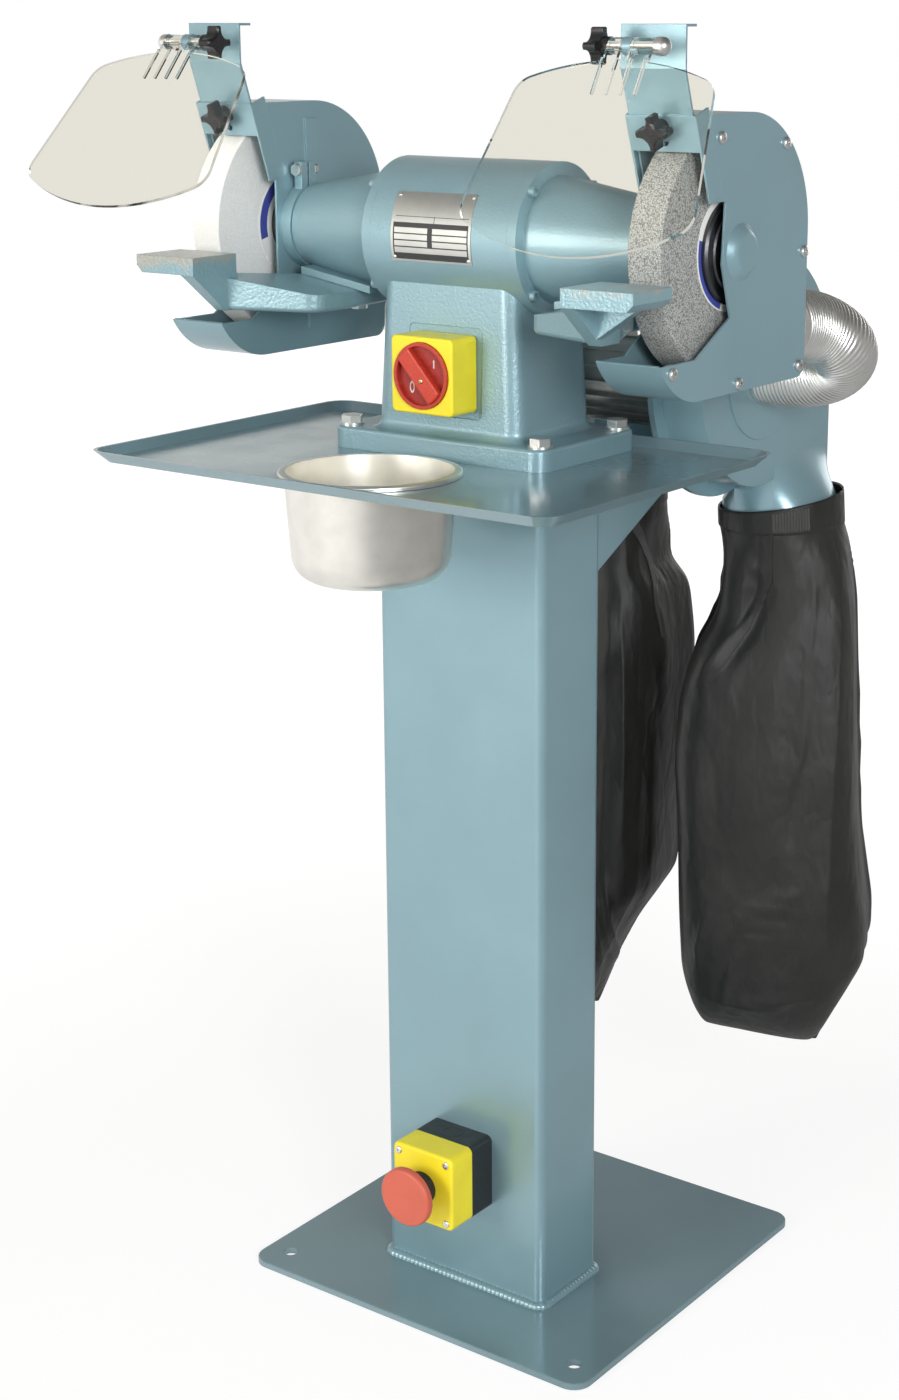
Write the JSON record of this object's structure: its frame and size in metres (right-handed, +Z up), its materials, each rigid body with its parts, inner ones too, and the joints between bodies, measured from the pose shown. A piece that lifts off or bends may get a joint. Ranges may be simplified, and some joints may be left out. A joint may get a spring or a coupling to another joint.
{
  "type": "pedestal grinder",
  "caption": "Pedestal grinder with guarded wheels, tilting clear shields, tool rests, drip tray with water bowl, and dust fans with hanging bags.",
  "frame": {"origin": "on the floor under the middle of the base plate", "axes": "+X along the spindle to the right as seen from the front, +Y to the back, +Z up"},
  "size_m": [0.6544, 0.6475, 1.153],
  "materials": {
    "paint": "satin blue-grey paint with a fine orange-peel texture",
    "casting_paint": "blue-grey paint over a casting, satin",
    "rest_paint": "blue-grey paint over rough cast iron",
    "stainless": "brushed stainless steel",
    "zinc": "bright zinc plating",
    "dark_steel": "plain turned steel",
    "core": "laminated steel and windings",
    "plate": "satin aluminium, blank",
    "wheel_white": "white vitrified abrasive",
    "wheel_grey": "speckled grey vitrified abrasive",
    "blotter": "blue printed paper, plain",
    "clear": "clear polycarbonate, polished",
    "knob_black": "black moulded plastic",
    "switch_yellow": "yellow moulded plastic",
    "switch_red": "red moulded plastic",
    "switch_black": "black moulded plastic",
    "hose_metal": "bright corrugated aluminium",
    "bag_cloth": "black woven nylon"
  },
  "bodies": {
    "stand": {"base_plate": "paint", "column": "paint", "head_plate": "paint", "tray": "paint", "guard_shell_left": "paint", "guard_shell_right": "paint", "guard_cover_left": "paint", "guard_cover_right": "paint", "fan_housing_left": "paint", "fan_housing_right": "paint", "fan_bracket": "paint", "motor_casting": "casting_paint", "end_bell_left": "casting_paint", "end_bell_right": "casting_paint", "fan_motor": "casting_paint", "foot_bolts": "zinc", "foot_washers": "zinc", "cover_screws": "zinc", "clamp_bolts": "zinc", "rest_bolts": "zinc", "stop_lid_screws": "zinc", "end_bell_screws": "dark_steel", "spindle_bearings": "dark_steel", "stator": "core", "rating_plate": "plate", "switch_box": "switch_yellow", "stop_lid": "switch_yellow", "stop_base": "switch_black", "stop_collar": "switch_black", "switch_gasket": "switch_black", "hose_left": "hose_metal", "hose_right": "hose_metal", "bag_left": "bag_cloth", "bag_right": "bag_cloth"},
    "spindle": {"spindle": "dark_steel", "rotor": "core", "wheel_left": "wheel_white", "wheel_right": "wheel_grey", "wheel_flanges": "dark_steel", "wheel_blotters": "blotter", "spindle_nuts": "dark_steel"},
    "fan_rotor": {"fan_shaft": "dark_steel", "fan_impellers": "dark_steel"},
    "switch_handle": {"switch_handle": "switch_red"},
    "stop_button": {"stop_button": "switch_red"},
    "water_bowl": {"water_bowl": "stainless"},
    "spark_guard_left": {"spark_plate_left": "paint", "shield_arm_left": "paint", "hinge_rod_left": "zinc"},
    "shield_left": {"shield_left": "clear"},
    "shield_knob_left": {"shield_knob_left": "knob_black"},
    "spark_knob_left": {"spark_knob_left": "knob_black"},
    "tool_rest_left": {"tool_rest_left": "rest_paint"},
    "spark_guard_right": {"spark_plate_right": "paint", "shield_arm_right": "paint", "hinge_rod_right": "zinc"},
    "shield_right": {"shield_right": "clear"},
    "shield_knob_right": {"shield_knob_right": "knob_black"},
    "spark_knob_right": {"spark_knob_right": "knob_black"},
    "tool_rest_right": {"tool_rest_right": "rest_paint"}
  },
  "joints": [
    {"name": "spindle_spin", "type": "hinge", "parent": "stand", "child": "spindle", "pos_m": [0, -0.061, 0.978], "axis": [1, 0, 0], "continuous": true},
    {"name": "fan_spin", "type": "hinge", "parent": "stand", "child": "fan_rotor", "pos_m": [0.03, 0.16, 0.848], "axis": [1, 0, 0], "continuous": true},
    {"name": "switch_turn", "type": "hinge", "parent": "stand", "child": "switch_handle", "pos_m": [0, -0.16, 0.868], "axis": [0, 1, 0], "range_deg": [0, 90]},
    {"name": "stop_push", "type": "slide", "parent": "stand", "child": "stop_button", "axis": [0, 1, 0], "range_m": [0, 0.005], "stiffness_N_per_m": 1500},
    {"name": "bowl_lift", "type": "slide", "parent": "stand", "child": "water_bowl", "axis": [0, 0, 1], "range_m": [0, 0.034]},
    {"name": "spark_guard_slide_left", "type": "slide", "parent": "stand", "child": "spark_guard_left", "axis": [0, -0.3256, 0.9455], "range_m": [-0.0015, 0.012]},
    {"name": "shield_tilt_left", "type": "hinge", "parent": "spark_guard_left", "child": "shield_left", "pos_m": [-0.224, -0.176, 1.137], "axis": [-1, 0, 0], "range_deg": [-35, 35]},
    {"name": "shield_knob_turn_left", "type": "hinge", "parent": "spark_guard_left", "child": "shield_knob_left", "pos_m": [-0.2, -0.176, 1.137], "axis": [1, 0, 0], "range_deg": [0, 360]},
    {"name": "spark_knob_turn_left", "type": "hinge", "parent": "stand", "child": "spark_knob_left", "pos_m": [-0.2255, -0.13307, 1.07649], "axis": [0, -0.9455, -0.3256], "range_deg": [0, 360]},
    {"name": "tool_rest_slide_left", "type": "slide", "parent": "stand", "child": "tool_rest_left", "axis": [0, -1, 0], "range_m": [0, 0.018]},
    {"name": "spark_guard_slide_right", "type": "slide", "parent": "stand", "child": "spark_guard_right", "axis": [0, -0.3256, 0.9455], "range_m": [-0.0015, 0.012]},
    {"name": "shield_tilt_right", "type": "hinge", "parent": "spark_guard_right", "child": "shield_right", "pos_m": [0.224, -0.176, 1.137], "axis": [-1, 0, 0], "range_deg": [-25, 45]},
    {"name": "shield_knob_turn_right", "type": "hinge", "parent": "spark_guard_right", "child": "shield_knob_right", "pos_m": [0.2, -0.176, 1.137], "axis": [-1, 0, 0], "range_deg": [0, 360]},
    {"name": "spark_knob_turn_right", "type": "hinge", "parent": "stand", "child": "spark_knob_right", "pos_m": [0.2255, -0.13307, 1.07649], "axis": [0, -0.9455, -0.3256], "range_deg": [0, 360]},
    {"name": "tool_rest_slide_right", "type": "slide", "parent": "stand", "child": "tool_rest_right", "axis": [0, -1, 0], "range_m": [0, 0.018]}
  ]
}
